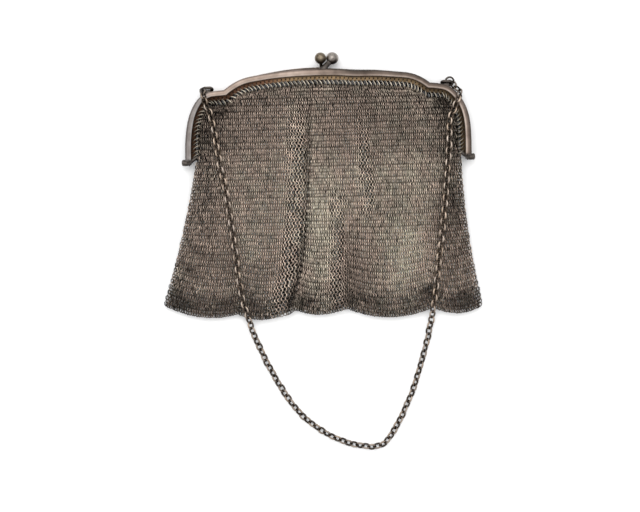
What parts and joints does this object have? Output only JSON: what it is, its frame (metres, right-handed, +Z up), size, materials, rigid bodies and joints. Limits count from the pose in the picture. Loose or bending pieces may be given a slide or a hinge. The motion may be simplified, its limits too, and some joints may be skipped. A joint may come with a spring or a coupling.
{
  "type": "mesh purse with chain",
  "caption": "Tarnished silver ring-mesh purse lying flat, with a notched hinged frame, ball clasp, pierced rails and a long carrying chain.",
  "frame": {"origin": "middle of the whole purse's plan, on the surface that it lies on", "axes": "+X across the purse to the right seen from above, +Y from the hem towards the clasp, +Z up from the surface, out of the purse's front"},
  "size_m": [0.165, 0.207, 0.0141],
  "materials": {
    "frame": "worn polished silver with a warm brown tarnish",
    "mesh": "tarnished silver rings, dark between them",
    "chain": "brown tarnished silver links, worn bright on their outer curves",
    "hinge": "dark tarnished silver"
  },
  "bodies": {
    "root": {"frame_front": "frame", "frame_back": "frame", "hinge_pin_left": "hinge", "hinge_pin_right": "hinge", "mesh_pouch": "mesh", "ring_left": "chain", "ring_right": "chain", "chain": "chain"}
  },
  "joints": []
}
